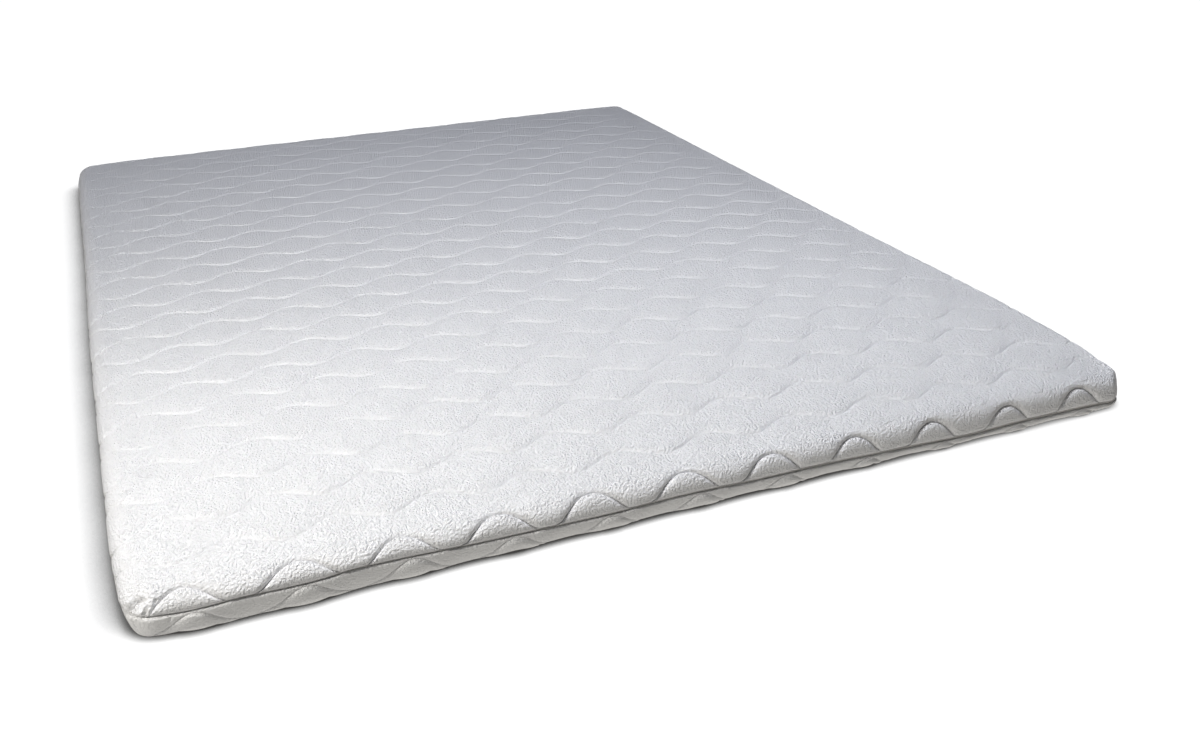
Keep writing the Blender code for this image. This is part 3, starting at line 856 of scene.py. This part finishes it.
def knit_cloth(name, colour, sizes, strength=1.0):
    """Soft, matt, knitted or woven cloth, whose small pebbles catch the light."""
    cloth, tree, shader = new_paint(name, colour, KNIT_ROUGHNESS, KNIT_SPECULAR)
    place = add_node(tree, "ShaderNodeTexCoord")
    drawn = add_node(tree, "ShaderNodeMapping", None, {
        "Vector": place.outputs["Object"], "Scale": (1.0, PEBBLES_ALONG, 1.0)})
    pebbles = add_node(tree, "ShaderNodeTexNoise", {"noise_dimensions": "3D"}, {
        "Vector": drawn.outputs["Vector"], "Scale": 1.0 / sizes.grain, "Detail": 1.0,
        "Roughness": 0.5, "Distortion": 0.0})
    foot, crest = PEBBLE_FLANKS
    raised = add_node(tree, "ShaderNodeMapRange", {"interpolation_type": "LINEAR"}, {
        "Value": pebbles.outputs["Fac"], "From Min": foot, "From Max": crest})
    facing = add_node(tree, "ShaderNodeSeparateXYZ", None, {"Vector": place.outputs["Normal"]})
    sloped, flat = LYING_FLAT
    height = add_node(tree, "ShaderNodeMapRange", {"interpolation_type": "SMOOTHSTEP"}, {
        "Value": facing.outputs["Z"], "From Min": sloped, "From Max": flat,
        "To Min": sizes.grain_height, "To Max": sizes.grain_height * LYING_GAIN})
    bump = add_node(tree, "ShaderNodeBump", None, {
        "Height": raised.outputs["Result"], "Distance": height.outputs["Result"],
        "Strength": strength})
    tree.links.new(bump.outputs["Normal"], shader.inputs["Normal"])
    return cloth


def lit_floor(colour):
    """A matt, pale floor that glows evenly, apart from its shade round the topper."""
    paint, tree, shader = new_paint("pale_floor", colour, roughness=0.9, specular=0.2)
    slant = add_node(tree, "ShaderNodeCombineXYZ", None, dict(zip("XYZ", SHADE_SLANT)))
    wide = add_node(tree, "ShaderNodeAmbientOcclusion", {"samples": SHADE_SAMPLES},
                    {"Distance": SHADE_REACH, "Normal": slant.outputs["Vector"]})
    narrow = add_node(tree, "ShaderNodeAmbientOcclusion", {"samples": SHADE_SAMPLES},
                      {"Distance": CONTACT_REACH})
    place = add_node(tree, "ShaderNodeTexCoord").outputs["Object"]
    across = add_node(tree, "ShaderNodeSeparateXYZ", None, {"Vector": place})
    start, end = CONTACT_FADES
    faded = add_node(tree, "ShaderNodeMapRange", {"interpolation_type": "SMOOTHSTEP"}, {
        "Value": across.outputs["X"], "From Min": start, "From Max": end,
        "To Min": 0.0, "To Max": CONTACT_LEAST})
    shares = []
    for shade, (full, none), least in ((wide, SHADE_RANGE, 0.0),
                                       (narrow, CONTACT_RANGE, faded.outputs["Result"])):
        share = add_node(tree, "ShaderNodeMapRange", {"interpolation_type": "SMOOTHSTEP"}, {
            "Value": shade.outputs["AO"], "From Min": full, "From Max": none, "To Min": least})
        shares.append(share.outputs["Result"])
    both = add_node(tree, "ShaderNodeMath", {"operation": "MULTIPLY"},
                    {0: shares[0], 1: shares[1]})
    glow = add_node(tree, "ShaderNodeMath", {"operation": "MULTIPLY"},
                    {0: both.outputs["Value"], 1: FLOOR_GLOW})
    shader.inputs["Emission Color"].default_value = (1.0, 1.0, 1.0, 1.0)
    tree.links.new(glow.outputs["Value"], shader.inputs["Emission Strength"])
    return paint


# Operators

class TOPPER_OT_upper_panel(bpy.types.Operator):
    """Model the quilted upper panel"""

    bl_idname = "topper.upper_panel"
    bl_label = "Upper Panel"

    def execute(self, context):
        sizes = context.scene.topper_sizes
        mesh = panel_mesh(UpperWrap(sizes), UPPER_ROWS, 1, UPPER_INNER)
        pucker(mesh, UPPER_FOLDS, reach=0.006, cuts=3)
        # Double jersey with a pebbled face: a soft, matt white that is lively close by
        cloth = knit_cloth("pebbled_double_jersey", context.scene.topper_colours.upper_knit, sizes)
        piece = finished(mesh, "quilted_upper_panel", cloth, "upper_panel")
        return {"FINISHED"}


class TOPPER_OT_lower_panel(bpy.types.Operator):
    """Model the lower panel"""

    bl_idname = "topper.lower_panel"
    bl_label = "Lower Panel"

    def execute(self, context):
        sizes = context.scene.topper_sizes
        mesh = panel_mesh(LowerWrap(sizes), LOWER_ROWS, -1, LOWER_INNER)
        pucker(mesh, LOWER_FOLDS, reach=0.004, cuts=2)
        # Double jersey with a plainer face: the same white cloth, painted a little lighter than the
        # upper knit as painted light on its shaded wall, and calmer
        cloth = knit_cloth("plain_double_jersey", context.scene.topper_colours.lower_knit, sizes,
                           LOWER_PEBBLES)
        piece = finished(mesh, "lower_panel_cloth", cloth, "lower_panel")
        return {"FINISHED"}


class TOPPER_OT_seam_tape(bpy.types.Operator):
    """Model the tape in the seam"""

    bl_idname = "topper.seam_tape"
    bl_label = "Seam Tape"

    def execute(self, context):
        sizes = context.scene.topper_sizes
        wrap = UpperWrap(sizes)
        _, stations = placed_grid(wrap, grid_columns(wrap), grid_rows(wrap, *TAPE_ROWS))
        round_it = np.concatenate([stations[0, :-1], stations[:-1, -1],
                                   stations[-1, :0:-1], stations[:0:-1, 0]])
        mesh = bmesh.new()
        number = mesh.verts.layers.int.new("station")
        bmesh.ops.create_circle(mesh, segments=len(round_it), radius=1.0)
        start = ring_points(wrap, round_it, TAPE_EDGES, tape_level(wrap, 1, TAPE_CLEAR))
        mesh.verts.ensure_lookup_table()
        for i, point in enumerate(start):
            mesh.verts[i][number] = i
            mesh.verts[i].co = point
        first = edge = list(mesh.edges)
        for inset, part in (*TAPE_FACE, (TAPE_EDGES, -1), (TAPE_DEEP, -1), (TAPE_DEEP, 1)):
            edge = add_ring(mesh, edge, wrap, round_it, inset, tape_level(wrap, part, TAPE_CLEAR))
        bmesh.ops.bridge_loops(mesh, edges=first + edge)
        # Woven tape: flatter than the knits and a little darker, a plain matt line in the seam
        cloth = knit_cloth("woven_tape", context.scene.topper_colours.tape, sizes, TAPE_PEBBLES)
        finished(mesh, "seam_tape_strip", cloth, "seam_tape")
        return {"FINISHED"}


class TOPPER_OT_studio(bpy.types.Operator):
    """Set up the floor, the lights and the camera"""

    bl_idname = "topper.studio"
    bl_label = "Studio"

    def execute(self, context):
        self.lay_floor(context.scene.topper_colours)
        self.place_camera(context.scene)
        self.hang_lamps(context.scene)
        self.fill_air(context.scene)
        self.hang_flag()
        context.scene.view_settings.view_transform = "Standard"
        return {"FINISHED"}

    def lay_floor(self, colours):
        """Lay the floor, whose glow shows to the camera and lights nothing."""
        mesh = bmesh.new()
        bmesh.ops.create_grid(mesh, x_segments=1, y_segments=1, size=FLOOR_HALF,
                              matrix=Matrix.Translation((0.0, 0.0, FLOOR_LEVEL)))
        floor = linked(mesh, "floor", lit_floor(colours.floor))
        floor.visible_diffuse = False
        floor.visible_glossy = False

    def place_camera(self, scene):
        """Place the camera where the photograph was taken from."""
        lens = bpy.data.cameras.new("camera")
        lens.sensor_width = SENSOR_MM
        lens.lens = FOCAL_MM
        lens.clip_start = 0.01
        camera = bpy.data.objects.new("camera", lens)
        scene.collection.objects.link(camera)
        aim = Vector(CAMERA_AIM) - Vector(CAMERA_PLACE)
        turn = aim.to_track_quat("-Z", "Y").to_matrix().to_4x4()
        roll = Matrix.Rotation(CAMERA_ROLL, 4, "Z")
        camera.matrix_world = Matrix.Translation(CAMERA_PLACE) @ turn @ roll
        scene.camera = camera

    def hang_lamps(self, scene):
        """Hang round, soft lamps."""
        for name, (place, target, size, power, colour) in LAMPS.items():
            light = bpy.data.lights.new(name, "AREA")
            light.shape = "DISK"
            light.size = size
            light.energy = power
            light.color = linear(colour)
            lamp = bpy.data.objects.new(name, light)
            scene.collection.objects.link(lamp)
            lamp.location = place
            aim = Vector(target) - Vector(place)
            lamp.rotation_euler = aim.to_track_quat("-Z", "Y").to_euler()

    def fill_air(self, scene):
        """Let light of the floor's colour come from below, and hardly any from above."""
        world = bpy.data.worlds.new("studio_air")
        world.use_nodes = True
        tree = world.node_tree
        toward = add_node(tree, "ShaderNodeTexCoord").outputs["Generated"]
        parts = add_node(tree, "ShaderNodeSeparateXYZ", None, {"Vector": toward})
        share = add_node(tree, "ShaderNodeMapRange", {"interpolation_type": "SMOOTHSTEP"}, {
            "Value": parts.outputs["Z"], "From Min": -HORIZON, "From Max": HORIZON})
        below, above = ((*(part * strength for part in linear(code)), 1.0)
                        for code, strength in (BELOW, ABOVE))
        # Inputs 6 and 7 and output 2 are the node's two colours and their mixture
        mix = add_node(tree, "ShaderNodeMix", {"data_type": "RGBA"}, {
            "Factor": share.outputs["Result"], 6: below, 7: above})
        tree.links.new(mix.outputs[2], tree.nodes["Background"].inputs["Color"])
        scene.world = world

    def hang_flag(self):
        """Hang the flag, which doesn't show and only keeps light off."""
        mesh = bmesh.new()
        width, length = FLAG_SIZE
        bmesh.ops.create_grid(mesh, x_segments=1, y_segments=1, size=1.0,
                              matrix=Matrix.Diagonal((width / 2, length / 2, 1.0, 1.0)))
        # Black card: it takes all light, and its colour never shows
        black = new_paint("black_card", linear("#191919"), roughness=0.5, specular=0.5)[0]
        flag = linked(mesh, "flag", black)
        flag.location = FLAG_PLACE
        flag.rotation_euler = (0.0, math.pi / 2, 0.0)
        flag.visible_camera = False
        flag.visible_diffuse = False
        flag.visible_glossy = False


class TOPPER_PT_sidebar(bpy.types.Panel):
    """Lists the topper's operators"""

    bl_idname = "TOPPER_PT_sidebar"
    bl_label = "Mattress Topper"
    bl_space_type = "VIEW_3D"
    bl_region_type = "UI"
    bl_category = "Topper"

    def draw(self, context):
        for operator in OPERATORS:
            self.layout.operator(operator.bl_idname)
        for group in (context.scene.topper_sizes, context.scene.topper_colours):
            for name in group.bl_rna.properties.keys():
                if name not in ("rna_type", "name"):
                    self.layout.prop(group, name)


OPERATORS = (TOPPER_OT_studio, TOPPER_OT_upper_panel, TOPPER_OT_lower_panel, TOPPER_OT_seam_tape)
CLASSES = (TopperSizes, TopperColours, *OPERATORS, TOPPER_PT_sidebar)


def register():
    """Register the classes and give every scene the topper's sizes and colours."""
    for made in CLASSES:
        bpy.utils.register_class(made)
    bpy.types.Scene.topper_sizes = PointerProperty(type=TopperSizes)
    bpy.types.Scene.topper_colours = PointerProperty(type=TopperColours)


def unregister():
    """Take back what register gave."""
    del bpy.types.Scene.topper_colours
    del bpy.types.Scene.topper_sizes
    for made in reversed(CLASSES):
        bpy.utils.unregister_class(made)


def main():
    """Make the studio and the pieces."""
    register()
    bpy.ops.topper.studio()
    bpy.ops.topper.upper_panel()
    bpy.ops.topper.lower_panel()
    bpy.ops.topper.seam_tape()


if __name__ == "__main__":
    main()
